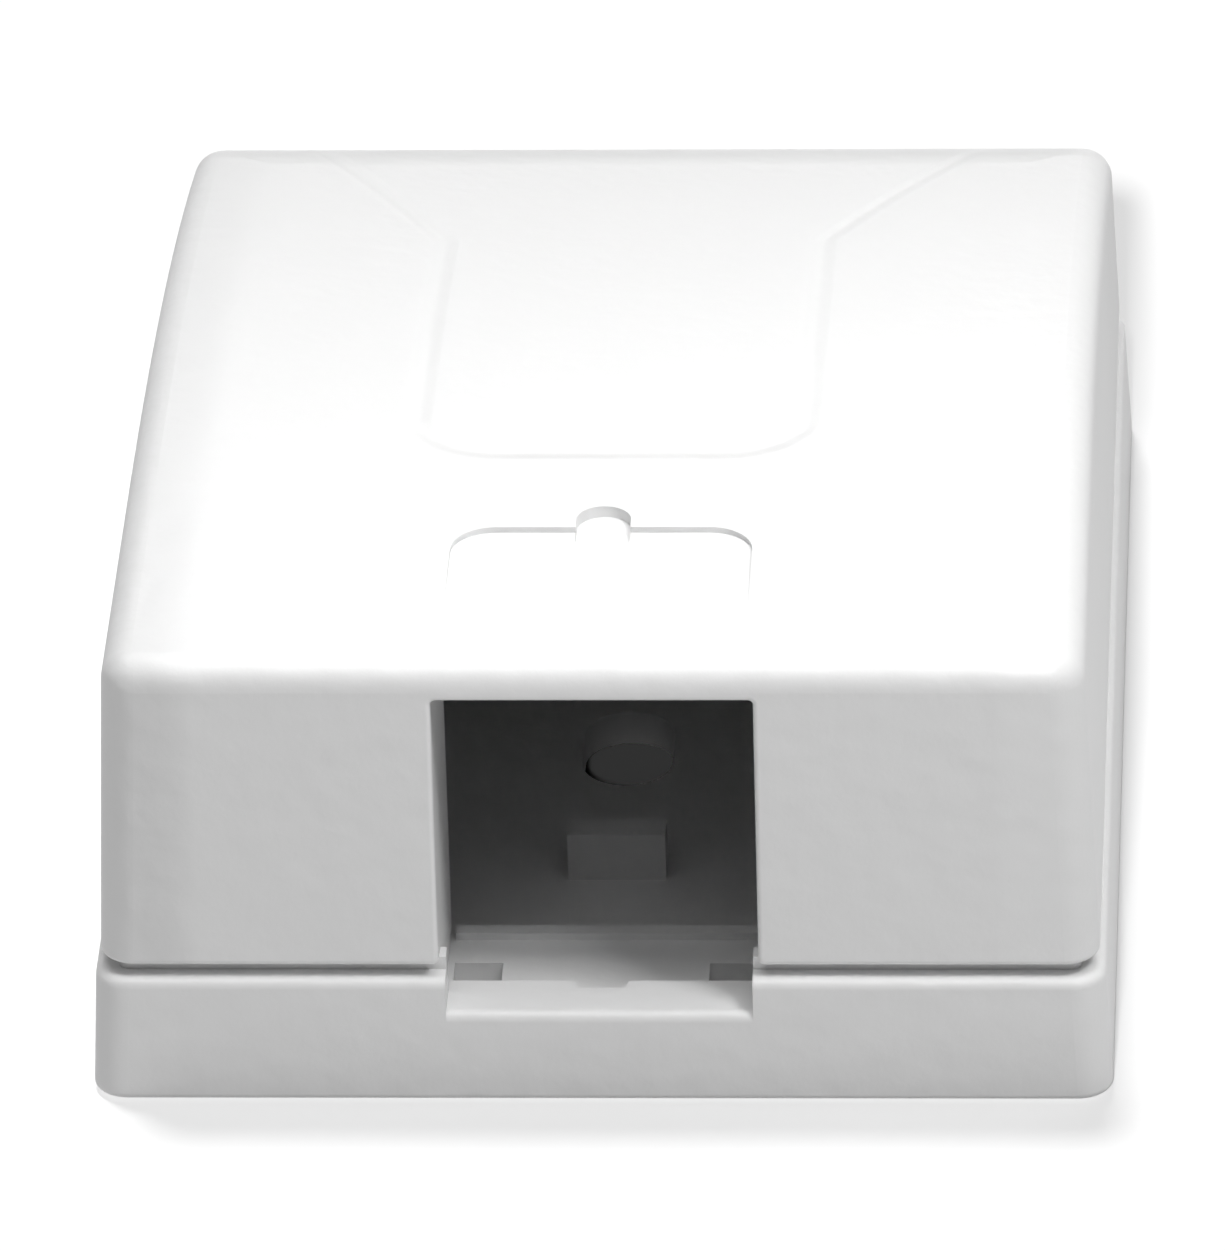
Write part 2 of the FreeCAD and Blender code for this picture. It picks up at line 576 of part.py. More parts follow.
def label_recess(body):
    """The shallow seat for a label: deepest at its rear edge, running out to nothing at the front."""
    rear = from_front("sizes.label_back")
    corners = [(from_front("sizes.label_front"), "sizes.box_height"),
               (rear, "sizes.box_height - sizes.label_depth"),
               (rear, "sizes.box_height + sizes.label_depth"),
               (from_front("sizes.label_front"), "sizes.box_height + sizes.label_depth")]
    outline = polygon(body, "label_outline", "YZ_Plane", corners)
    seat = pocket(body, "label_seat", outline, "sizes.label_width", symmetric=True)
    half, rear_y = VALUE["label_width"] / 2, VALUE["label_back"] - VALUE["box_depth"] / 2

    def rear_corner(edge):
        box = edge.BoundBox
        return (corner_edge(edge) and abs(box.YMin - rear_y) < 1e-3 and abs(abs(box.XMin) - half) < 1e-3
                and box.ZMin > VALUE["box_height"] - VALUE["cover_wall"])
    fillet(body, "label_corners", seat, rear_corner, "sizes.label_radius")
    outline = slot(body, "pick_outline", "XY_Plane", "0", rear, "sizes.pick_width", "2 * sizes.pick_reach",
                   "sizes.box_height")
    pocket(body, "finger_notch", outline, "sizes.pick_depth")


def panel_cutter():
    """What the shallow panel takes out of the top: an outline that flares to the rear, one depth all over."""
    body = new_body("panel_cutter", STAND_OFF)
    half = "sizes.panel_width / 2"
    front, bend, rear = from_front("sizes.panel_front"), from_front("sizes.flare_start"), HALF_DEPTH
    corners = [(f"-{half}", front), (half, front), (half, bend), ("sizes.flare_width / 2", rear),
               ("-sizes.flare_width / 2", rear), (f"-{half}", bend)]
    outline = polygon(body, "panel_outline", "XY_Plane", corners)
    prism = pad(body, "panel_prism", outline, "sizes.box_height * 1.5")
    front_y = VALUE["panel_front"] - VALUE["box_depth"] / 2
    bend_y = VALUE["flare_start"] - VALUE["box_depth"] / 2
    at_front = both(corner_edge, lambda edge: abs(edge.BoundBox.YMax - front_y) < 1e-3)
    rounded = fillet(body, "panel_corners", prism, at_front, "sizes.panel_radius")
    at_bend = both(corner_edge, lambda edge: abs(edge.BoundBox.YMax - bend_y) < 1e-3)
    fillet(body, "panel_bends", rounded, at_bend, "sizes.flare_radius")
    under = top_profile(body, "panel_floor_outline", "sizes.box_height - sizes.panel_depth", "-sizes.box_height")
    pocket(body, "under_panel", under, "2 * sizes.box_width", symmetric=True)
    return body


def rear_knockout(body):
    """The arched knockout for a cable in the rear wall: an upright web, recessed on both faces."""
    outer_face = f"({HALF_DEPTH} - {COVER_INSET})"
    length = "2 * sizes.knockout_height"
    outline = slot(body, "knockout_outline", "XZ_Plane", "0", SEAM_TOP, "sizes.knockout_width", length,
                   f"-({outer_face} + sizes.knockout_recess)")
    pocket(body, "knockout_outside", outline, "2 * sizes.knockout_recess", upward=True)
    outline = slot(body, "knockout_inner_outline", "XZ_Plane", "0", SEAM_TOP, "sizes.knockout_width", length,
                   f"-({outer_face} - sizes.knockout_recess - sizes.knockout_web)")
    pocket(body, "knockout_inside", outline, "2 * sizes.cover_wall", upward=True)


def snap_beads(body):
    """The bead inside each side wall that passes the bead of the base's snap tab."""
    high = "(sizes.snap_tab_height - sizes.snap_bead_height - sizes.tab_clearance)"
    middle = f"({high} - sizes.snap_bead_height / 2)"
    low = f"({high} - sizes.snap_bead_height)"
    root = f"({cover_face(HALF_WIDTH, middle)} + sizes.cover_wall / 2)"
    corners = [(root, low), (root, high), (cover_face(HALF_WIDTH, high), high),
               (f"{cover_face(HALF_WIDTH, middle)} - sizes.snap_bead", middle),
               (cover_face(HALF_WIDTH, low), low)]
    outline = polygon(body, "cover_bead_outline", "XZ_Plane", corners)
    rib = pad(body, "cover_bead", outline, "sizes.snap_tab_length", symmetric=True)
    mirror(body, "cover_beads", [rib])


def make_cover():
    """The upper moulding."""
    cutter = panel_cutter()
    body = new_body("cover", STAND_OFF)
    cover_shell(body)
    jack_opening(body)
    jack_bay(body)
    snap_beads(body)
    rear_knockout(body)
    label_recess(body)
    panel = body.newObject("PartDesign::Boolean", "top_panel")
    panel.setObjects([cutter])
    panel.Type = "Cut"
    document.recompute()
    return body


# ---- mounting tapes ------------------------------------------------------------------------------

def make_strip(name, side, bottom, thickness):
    """One flat strip under the floor: side is -1 for the left strip and 1 for the right one."""
    strip = document.addObject("Part::Box", name)
    strip.Label = name
    strip.setExpression("Length", "sizes.tape_width")
    strip.setExpression("Width", "sizes.tape_length")
    strip.setExpression("Height", thickness)
    strip.setExpression("Placement.Base.x", f"{side} * {TAPE_MIDDLE} - sizes.tape_width / 2")
    strip.setExpression("Placement.Base.y", "-sizes.tape_length / 2")
    strip.setExpression("Placement.Base.z", bottom)
    return strip


def make_tapes():
    """The foam tapes in their wells and the release liners under them."""
    strips = []
    for side, word in ((-1, "left"), (1, "right")):
        strips.append(make_strip(f"foam_tape_{word}", side, "sizes.liner_thickness", "sizes.tape_thickness"))
        strips.append(make_strip(f"tape_liner_{word}", side, "0", "sizes.liner_thickness"))
    return strips


# ---- build and export ----------------------------------------------------------------------------

def check_document():
    """Stops if any object of the document is in error."""
    for thing in document.Objects:
        if "Invalid" in thing.State or "Error" in thing.State:
            raise RuntimeError(f"{thing.Label}: {thing.State}")


def export(nodes):
    """Writes each piece's shape to its own file."""
    os.makedirs("parts", exist_ok=True)
    for node in nodes:
        shape = node.Shape
        if shape.isNull() or not shape.isValid():
            raise RuntimeError(f"{node.Label}: bad shape")
        shape.exportStep(f"parts/{node.Label}.step")
        print(f"{node.Label}: {len(shape.Solids)} solid, {shape.Volume:.1f} mm3")


def main():
    """Builds every piece and writes the files."""
    make_sheet()
    nodes = [make_base(), make_cover(), *make_tapes()]
    document.recompute()
    check_document()
    export(nodes)


main()
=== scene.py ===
"""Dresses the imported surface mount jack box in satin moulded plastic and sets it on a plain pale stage."""
import math
from functools import partial

import bmesh
import bpy
from bpy.props import FloatProperty, FloatVectorProperty, PointerProperty
from bpy.types import Operator, Panel, PropertyGroup
from mathutils import Matrix, Vector, noise


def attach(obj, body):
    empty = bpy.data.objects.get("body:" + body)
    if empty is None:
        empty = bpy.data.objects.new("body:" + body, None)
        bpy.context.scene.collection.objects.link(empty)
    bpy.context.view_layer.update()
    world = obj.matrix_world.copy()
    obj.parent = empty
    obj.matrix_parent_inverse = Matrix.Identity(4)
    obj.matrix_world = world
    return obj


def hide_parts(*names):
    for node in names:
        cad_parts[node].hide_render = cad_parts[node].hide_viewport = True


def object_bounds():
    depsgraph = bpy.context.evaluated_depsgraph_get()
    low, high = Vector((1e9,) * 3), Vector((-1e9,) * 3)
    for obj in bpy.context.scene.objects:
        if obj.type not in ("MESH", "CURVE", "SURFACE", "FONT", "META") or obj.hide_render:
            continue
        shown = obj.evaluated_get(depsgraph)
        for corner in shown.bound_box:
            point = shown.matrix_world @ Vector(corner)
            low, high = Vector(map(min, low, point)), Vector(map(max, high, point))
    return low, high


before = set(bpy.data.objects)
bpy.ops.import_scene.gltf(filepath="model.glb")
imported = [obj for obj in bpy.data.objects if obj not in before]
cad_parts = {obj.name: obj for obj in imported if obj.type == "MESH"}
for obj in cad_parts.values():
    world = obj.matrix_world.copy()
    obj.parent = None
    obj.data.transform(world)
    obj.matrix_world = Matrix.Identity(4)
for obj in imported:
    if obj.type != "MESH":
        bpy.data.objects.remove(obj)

bl_info = {
    "name": "Jack Box Dressing",
    "version": (1, 0, 0),
    "blender": (4, 5, 0),
    "location": "View3D > Sidebar > Jack Box",
    "description": "Finishes for a surface mount jack box, and the stage that it stands on",
    "category": "Object",
}

MM = 0.001
CAD_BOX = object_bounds()
WHITE = (1.0, 1.0, 1.0, 1.0)
# a bump's distance where its heights are metres already
METRES = 1.0

# the cover's top and its panel, from the middle of the box
TOP_HALF_WIDTH = 24.2 * MM
TOP_REAR = 34.2 * MM
TOP_CORNER = 3.0 * MM
PANEL_HALF_WIDTH = 9.7 * MM
PANEL_FRONT = -12.3 * MM
PANEL_CORNER = 4.0 * MM
# the panel flares by 8.3 mm on each side over its last 20 mm
FLARE_START = 15.0 * MM
FLARE_SLOPE = 8.3 / 20.0
# the groove fades out between these two lines
GROOVE_FADE_START = TOP_REAR - 3.0 * MM
GROOVE_FADE_END = TOP_REAR - 1.0 * MM

# plastic: a noise scale of 45 gives flow patches about 22 mm across
PATCH_SCALE = 45.0
PATCH_DETAIL = 2.0
PATCH_ROUGHNESS = 0.04
GRAIN_DETAIL = 3.0
PEEL_DETAIL = 1.0
PLASTIC_IOR = 1.5

# foam: a cell rises from its middle to its wall between these distances, in cells
CELL_MIDDLE = 0.1
CELL_WALL = 0.75
FOAM_ROUGHNESS = 0.85

# release paper: its fibres lie along the tape
FIBRE_STRETCH = (1.0, 0.35, 1.0)
FIBRE_DETAIL = 6.0
FIBRE_RAGGEDNESS = 0.7
FIBRE_THIN = 0.35
FIBRE_DENSE = 0.7
FIBRE_HEIGHT = 0.01 * MM
LINER_ROUGHNESS = 0.3
LINER_ROUGHNESS_RISE = 0.2
RELEASE_COAT = 0.4
RELEASE_COAT_ROUGHNESS = 0.15

# die-cut tape: its rows of points, as axis and step, and how unevenly its sides draw in
CORNER_SEGMENTS = 6
ROWS = ((1, 1.0 * MM), (2, 0.15 * MM))
CUT_TOLERANCE = 1e-7
RAGGED_SIZE = 1.5 * MM
LEAST_HOLLOW = 0.6
SHARP_ANGLE = math.radians(40)

# floor: under the box its paint fades to a painted shade and its glow fades out, and a negative distance lies
# inside the box's sides
FLOOR_REACH = 6.0
FLOOR_ROUGHNESS = 0.9
# painted shade: the nearly black floor colour under the box
PAINTED_SHADE_UNDER_BOX = (0.02, 0.02, 0.02, 1.0)
COVERED_CORNER = 1.0 * MM
COVERED_FADE_START = -4.0 * MM
COVERED_FADE_END = -0.5 * MM

# lights: their places, distances and sizes are in metres, from the middle of the box
REAR_SUN_PLACE = (-0.06, 0.15, 0.7)
REAR_SUN_ANGLE = math.radians(8)
FRONT_SUN_TURN = math.radians(-2.5)
FRONT_SUN_RISE = math.radians(31)
FRONT_SUN_DISTANCE = 0.7
FRONT_SUN_ANGLE = math.radians(4)
KEY_TURN = math.radians(46)
KEY_RISE = math.radians(52)
KEY_DISTANCE = 0.225
KEY_SIZE = 0.05
TOP_PLACE = (0.0, 0.0, 0.7)
TOP_SIZE = 0.6
REAR_PLACE = (0.0, 0.12, 0.25)
REAR_SIZE = 0.15
FILL_PLACE = (0.0, -0.35, 0.65)
FILL_SIZE = 0.5

# camera: the point that it looks at, its sensor's width in millimetres, and how far it sees in metres
CAMERA_TARGET = Vector((-0.55967, -5.14737, 10.03225)) * MM
SENSOR_WIDTH = 36.0
CLIP_END = 20.0


# ---- settings ------------------------------------------------------------------------------------

def colour_property(name, description, default):
    """A colour that the panel shows as a swatch."""
    return FloatVectorProperty(name=name, description=description, default=default, size=3, min=0.0,
                               max=1.0, subtype="COLOR")


def length_property(name, description, default):
    """A length in metres, given in millimetres."""
    return FloatProperty(name=name, description=description, default=default * MM, min=0.0, unit="LENGTH")


def strength_property(name, description, default):
    """The strength or power of a light."""
    return FloatProperty(name=name, description=description, default=default, min=0.0)


def angle_property(name, description, default):
    """An angle in radians, given in degrees."""
    return FloatProperty(name=name, description=description, default=math.radians(default), subtype="ANGLE")


class PlasticSettings(PropertyGroup):
    """The moulded plastic of the base and the cover."""
    colour: colour_property("Colour", "Colour of the plastic", (0.86, 0.86, 0.86))
    shade: colour_property("Shade", "Colour of the plastic's slightly darker flow patches",
                           (0.825, 0.825, 0.825))
    roughness: FloatProperty(name="Roughness", description="Roughness of the moulded skin", default=0.38,
                             min=0.0, max=1.0, subtype="FACTOR")
    grain_size: length_property("Grain size", "Size of the mould's spark-eroded grain", 0.35)
    grain_height: length_property("Grain height", "Height of that grain", 0.012)
    peel_size: length_property("Peel size", "Size of the slow waves that the moulding leaves", 1.6)
    peel_height: length_property("Peel height", "Height of those waves", 0.075)
    fall_off: length_property("Edge fall-off", "Width of the fall-off along the top's sides and rear", 4.8)
    fall_off_height: length_property("Edge fall-off height", "Height of that fall-off in the shading", 0.75)
    groove_width: length_property("Panel groove", "Width of the soft groove round the top's panel", 1.5)
    groove_depth: length_property("Panel groove depth", "Depth of that groove in the shading", 0.11)


class TapeSettings(PropertyGroup):
    """The foam tapes and their release liners."""
    foam: colour_property("Foam", "Colour of the foam", (0.80, 0.80, 0.77))
    # painted shade: the colour that the cut cells darken to towards their sunken middles
    foam_cell_painted_shade: colour_property("Foam cells", "Colour in the foam's cells", (0.58, 0.58, 0.55))
    cell_size: length_property("Cell size", "Size of the foam's cells", 0.30)
    cell_depth: length_property("Cell depth", "Depth of the cut cells", 0.05)
    tape_corner: length_property("Tape corner", "Round of the tape's die-cut corners", 0.8)
    tape_hollow: length_property("Tape hollow", "How far the tape's cut sides draw in at half height", 0.12)
    liner: colour_property("Liner", "Colour of the release paper", (0.78, 0.71, 0.55))
    liner_shade: colour_property("Liner fibres", "Colour of the paper's darker fibres", (0.66, 0.58, 0.42))
    fibre_size: length_property("Fibre size", "Size of the paper's fibre clouds", 1.4)


class StageSettings(PropertyGroup):
    """The floor, the lights and the camera."""
    floor_colour: colour_property("Floor", "Colour of the floor", (0.45, 0.45, 0.45))
    floor_glow: strength_property("Floor glow", "Light that the backlit floor gives by itself", 0.36)
    floor_spill: strength_property("Floor spill", "How much of that light the object receives", 0.07)
    rear_sun: strength_property("Rear sun", "Light from behind that only the floor receives", 2.38)
    front_sun: strength_property("Front sun", "Light from the front that only the floor receives", 4.5)
    key_power: strength_property("Key light", "Power of the key light", 0.185)
    top_power: strength_property("Top light", "Power of the broad light overhead", 3.95)
    rear_power: strength_property("Rear light", "Power of the light over the rear", 0.22)
    fill_power: strength_property("Fill light", "Power of the broad light over the front", 0.6)
    turn: angle_property("Camera turn", "How far the camera stands to the right of the front", 3.42)
    rise: angle_property("Camera rise", "How far the camera looks down", 29.47)
    roll: angle_property("Camera roll", "How far the camera is tipped", -1.71)
    distance: FloatProperty(name="Camera distance", description="From the camera to the point it looks at",
                            default=0.7235, min=0.01, unit="LENGTH")
    focal_length: FloatProperty(name="Focal length", description="Focal length of the camera, in millimetres",
                                default=421.9, min=1.0)


# ---- shader nodes --------------------------------------------------------------------------------

def new_group(name, inputs, outputs):
    """An empty shader node group with named sockets; returns its tree, input node and output node."""
    tree = bpy.data.node_groups.new(name, "ShaderNodeTree")
    for socket_name, kind, default in inputs:
        socket = tree.interface.new_socket(name=socket_name, in_out="INPUT", socket_type=kind)
        socket.default_value = default
    for socket_name, kind in outputs:
        tree.interface.new_socket(name=socket_name, in_out="OUTPUT", socket_type=kind)
    return tree, tree.nodes.new("NodeGroupInput"), tree.nodes.new("NodeGroupOutput")


def feed(tree, socket, value):
    """Gives a socket a number or colour, or a link from another socket."""
    if isinstance(value, bpy.types.NodeSocket):
        tree.links.new(value, socket)
    else:
        socket.default_value = value


def calculate(tree, operation, *values):
    """A Math node on sockets or numbers; returns its output."""
    node = tree.nodes.new("ShaderNodeMath")
    node.operation = operation
    for socket, value in zip(node.inputs, values):
        feed(tree, socket, value)
    return node.outputs["Value"]


def eased(tree, value, start, end):
    """A smooth rise from 0 at the start to 1 at the end."""
    node = tree.nodes.new("ShaderNodeMapRange")
    node.interpolation_type = "SMOOTHSTEP"
    for name, given in (("Value", value), ("From Min", start), ("From Max", end)):
        feed(tree, node.inputs[name], given)
    return node.outputs["Result"]


def blended(tree, factor, first, second):
    """A colour between two colours, which is the first at a factor of 0; returns its output."""
    node = tree.nodes.new("ShaderNodeMix")
    node.data_type = "RGBA"
    for name, given in (("Factor", factor), ("A", first), ("B", second)):
        feed(tree, node.inputs[name], given)
    return node.outputs["Result"]


def noise_texture(tree, vector, scale, detail):
    """A Noise Texture node at a scale and detail."""
    node = tree.nodes.new("ShaderNodeTexNoise")
    for name, given in (("Vector", vector), ("Scale", scale), ("Detail", detail)):
        feed(tree, node.inputs[name], given)
    return node


def bump(tree, height, distance):
    """A Bump node over a height, which the distance turns into metres; returns the node."""
    node = tree.nodes.new("ShaderNodeBump")
    node.inputs["Distance"].default_value = distance
    tree.links.new(height, node.inputs["Height"])
    return node


def object_place(tree):
    """The place on the object, in metres."""
    return tree.nodes.new("ShaderNodeTexCoord").outputs["Object"]


def object_axes(tree):
    """The place on the object as the outputs X, Y and Z."""
    parts = tree.nodes.new("ShaderNodeSeparateXYZ")
    tree.links.new(object_place(tree), parts.inputs["Vector"])
    return parts.outputs


def rounded_distance(tree, across, along, radius):
    """Distance outside a corner of the given radius, from the distances outside its two sides."""
    do = partial(calculate, tree)
    side, end = do("ADD", across, radius), do("ADD", along, radius)
    past_side, past_end = do("MAXIMUM", side, 0.0), do("MAXIMUM", end, 0.0)
    square = do("ADD", do("MULTIPLY", past_side, past_side), do("MULTIPLY", past_end, past_end))
    inner = do("MINIMUM", do("MAXIMUM", side, end), 0.0)
    return do("SUBTRACT", do("ADD", do("SQRT", square), inner), radius)


# ---- shader groups -------------------------------------------------------------------------------

def moulded_skin_group():
    """Colour, roughness and height of a moulded skin: flow patches, slow waves and a fine eroded grain."""
    tree, given, result = new_group(
        "moulded_skin",
        [("Colour", "NodeSocketColor", (0.8, 0.8, 0.8, 1.0)),
         ("Shade", "NodeSocketColor", (0.7, 0.7, 0.7, 1.0)),
         ("Roughness", "NodeSocketFloat", 0.4), ("Grain Size", "NodeSocketFloat", 0.3 * MM),
         ("Grain Height", "NodeSocketFloat", 0.0), ("Peel Size", "NodeSocketFloat", 2.0 * MM),
         ("Peel Height", "NodeSocketFloat", 0.0)],
        [("Colour", "NodeSocketColor"), ("Roughness", "NodeSocketFloat"), ("Height", "NodeSocketFloat")])
    link, do = tree.links.new, partial(calculate, tree)
    place = object_place(tree)
    patches = noise_texture(tree, place, PATCH_SCALE, PATCH_DETAIL).outputs["Fac"]
    link(blended(tree, patches, given.outputs["Colour"], given.outputs["Shade"]), result.inputs["Colour"])
    spread = tree.nodes.new("ShaderNodeMapRange")
    spread.inputs["To Min"].default_value = -PATCH_ROUGHNESS
    spread.inputs["To Max"].default_value = PATCH_ROUGHNESS
    link(patches, spread.inputs["Value"])
    link(do("ADD", given.outputs["Roughness"], spread.outputs["Result"]), result.inputs["Roughness"])
    heights = []
    for kind, detail in (("Grain", GRAIN_DETAIL), ("Peel", PEEL_DETAIL)):
        scale = do("DIVIDE", 1.0, given.outputs[f"{kind} Size"])
        waves = noise_texture(tree, place, scale, detail).outputs["Fac"]
        heights.append(do("MULTIPLY", waves, given.outputs[f"{kind} Height"]))
    link(do("ADD", *heights), result.inputs["Height"])
    return tree


def top_relief_group():
    """Heights of the cover's top: its soft fall-off to the sides and rear, and the groove round its panel."""
    tree, given, result = new_group(
        "top_relief",
        [("Fall-off", "NodeSocketFloat", 5.0 * MM), ("Fall-off Height", "NodeSocketFloat", 1.0 * MM),
         ("Groove Width", "NodeSocketFloat", 1.0 * MM), ("Groove Depth", "NodeSocketFloat", 0.1 * MM)],
        [("Height", "NodeSocketFloat")])
    do = partial(calculate, tree)
    axes = object_axes(tree)
    side, along = do("ABSOLUTE", axes["X"]), axes["Y"]
    outside = rounded_distance(tree, do("SUBTRACT", side, TOP_HALF_WIDTH), do("SUBTRACT", along, TOP_REAR),
                               TOP_CORNER)
    rise = eased(tree, do("MULTIPLY", outside, -1.0), 0.0, given.outputs["Fall-off"])
    soft = do("MULTIPLY", rise, given.outputs["Fall-off Height"])
    flare = do("MAXIMUM", do("MULTIPLY", do("SUBTRACT", along, FLARE_START), FLARE_SLOPE), 0.0)
    half = do("ADD", flare, PANEL_HALF_WIDTH)
    past_panel = rounded_distance(tree, do("SUBTRACT", side, half), do("SUBTRACT", PANEL_FRONT, along),
                                  PANEL_CORNER)
    line = do("ABSOLUTE", past_panel)
    half_groove = do("MULTIPLY", given.outputs["Groove Width"], 0.5)
    on_top = do("SUBTRACT", 1.0, eased(tree, along, GROOVE_FADE_START, GROOVE_FADE_END))
    depth = do("MULTIPLY", given.outputs["Groove Depth"], on_top)
    groove = do("MULTIPLY", eased(tree, line, 0.0, half_groove), depth)
    tree.links.new(do("ADD", soft, groove), result.inputs["Height"])
    return tree


def placed_group(tree, name, make, values):
    """A shader group in a material, with the values of its inputs; the group is made on first use."""
    node = tree.nodes.new("ShaderNodeGroup")
    node.node_tree = bpy.data.node_groups.get(name) or make()
    for socket, value in values.items():
        node.inputs[socket].default_value = value
    return node


# ---- materials -----------------------------------------------------------------------------------

def new_material(name):
    """A material with only a Principled shader on its output; returns it with its tree and that shader."""
    material = bpy.data.materials.new(name)
    material.use_nodes = True
    return material, material.node_tree, material.node_tree.nodes["Principled BSDF"]


def solid(colour):
    """A colour with full opacity."""
    return (*colour, 1.0)


def plastic_material(name, settings, top=False):
    """White satin plastic with the mould's skin, and for the cover the relief of its top."""
    material, tree, shader = new_material(name)
    skin = placed_group(tree, "moulded_skin", moulded_skin_group, {
        "Colour": solid(settings.colour), "Shade": solid(settings.shade), "Roughness": settings.roughness,
        "Grain Size": settings.grain_size, "Grain Height": settings.grain_height,
        "Peel Size": settings.peel_size, "Peel Height": settings.peel_height})
    tree.links.new(skin.outputs["Colour"], shader.inputs["Base Color"])
    tree.links.new(skin.outputs["Roughness"], shader.inputs["Roughness"])
    fine = bump(tree, skin.outputs["Height"], METRES)
    tree.links.new(fine.outputs["Normal"], shader.inputs["Normal"])
    if top:
        relief = placed_group(tree, "top_relief", top_relief_group, {
            "Fall-off": settings.fall_off, "Fall-off Height": settings.fall_off_height,
            "Groove Width": settings.groove_width, "Groove Depth": settings.groove_depth})
        wide = bump(tree, relief.outputs["Height"], METRES)
        tree.links.new(wide.outputs["Normal"], fine.inputs["Normal"])
    shader.inputs["IOR"].default_value = PLASTIC_IOR
    return material


def foam_material(name, settings):
    """Closed-cell foam: cut cells, matt, with a painted shade that makes them slightly darker inside."""
    material, tree, shader = new_material(name)
    cells = tree.nodes.new("ShaderNodeTexVoronoi")
    cells.inputs["Scale"].default_value = 1.0 / settings.cell_size
    tree.links.new(object_place(tree), cells.inputs["Vector"])
    wall = eased(tree, cells.outputs["Distance"], CELL_MIDDLE, CELL_WALL)
    # painted shade: the colour darkens towards each cell's middle, where the bump dips in
    colour = blended(tree, wall, solid(settings.foam_cell_painted_shade), solid(settings.foam))
    tree.links.new(colour, shader.inputs["Base Color"])
    tree.links.new(bump(tree, wall, settings.cell_depth).outputs["Normal"], shader.inputs["Normal"])
    shader.inputs["Roughness"].default_value = FOAM_ROUGHNESS
    return material


def liner_material(name, settings):
    """Release paper: cloudy fibres under a thin glossy release coat."""
    material, tree, shader = new_material(name)
    stretch = tree.nodes.new("ShaderNodeMapping")
    stretch.inputs["Scale"].default_value = FIBRE_STRETCH
    tree.links.new(object_place(tree), stretch.inputs["Vector"])
    clouds = noise_texture(tree, stretch.outputs["Vector"], 1.0 / settings.fibre_size, FIBRE_DETAIL)
    clouds.inputs["Roughness"].default_value = FIBRE_RAGGEDNESS
    fibres = clouds.outputs["Fac"]
    dense = eased(tree, fibres, FIBRE_THIN, FIBRE_DENSE)
    colour = blended(tree, dense, solid(settings.liner), solid(settings.liner_shade))
    tree.links.new(colour, shader.inputs["Base Color"])
    rough = calculate(tree, "MULTIPLY_ADD", fibres, LINER_ROUGHNESS_RISE, LINER_ROUGHNESS)
    tree.links.new(rough, shader.inputs["Roughness"])
    tree.links.new(bump(tree, fibres, FIBRE_HEIGHT).outputs["Normal"], shader.inputs["Normal"])
    shader.inputs["Coat Weight"].default_value = RELEASE_COAT
    shader.inputs["Coat Roughness"].default_value = RELEASE_COAT_ROUGHNESS
    return material


def floor_material(settings):
    """Pale floor paint that glows, with a painted shade where the box covers it: there it is dark and gives no
    light.
    """
    material, tree, shader = new_material("floor_paint")
    do = partial(calculate, tree)
    shader.inputs["Roughness"].default_value = FLOOR_ROUGHNESS
    shader.inputs["Emission Color"].default_value = WHITE
    axes = object_axes(tree)
    side, along = (do("SUBTRACT", do("ABSOLUTE", axes[axis]), half)
                   for axis, half in (("X", CAD_BOX[1].x), ("Y", CAD_BOX[1].y)))
    outside = rounded_distance(tree, side, along, COVERED_CORNER)
    # mask of the painted shade under the box, which also turns the glow off there
    outside_painted_shade = eased(tree, outside, COVERED_FADE_START, COVERED_FADE_END)
    seen = tree.nodes.new("ShaderNodeLightPath").outputs["Is Camera Ray"]
    glow = do("MULTIPLY_ADD", seen, settings.floor_glow - settings.floor_spill, settings.floor_spill)
    tree.links.new(do("MULTIPLY", glow, outside_painted_shade), shader.inputs["Emission Strength"])
    # painted shade: the floor colour fades to nearly black under the box
    paint = blended(tree, outside_painted_shade, PAINTED_SHADE_UNDER_BOX, solid(settings.floor_colour))
    tree.links.new(paint, shader.inputs["Base Color"])
    return material


def put_on(node, material):
    """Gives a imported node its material."""
    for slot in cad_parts[node].material_slots:
        slot.material = material


# ---- pieces --------------------------------------------------------------------------------------

def new_object(name, data):
    """An object in the scene's own collection."""
    thing = bpy.data.objects.new(name, data)
    bpy.context.scene.collection.objects.link(thing)
    return thing


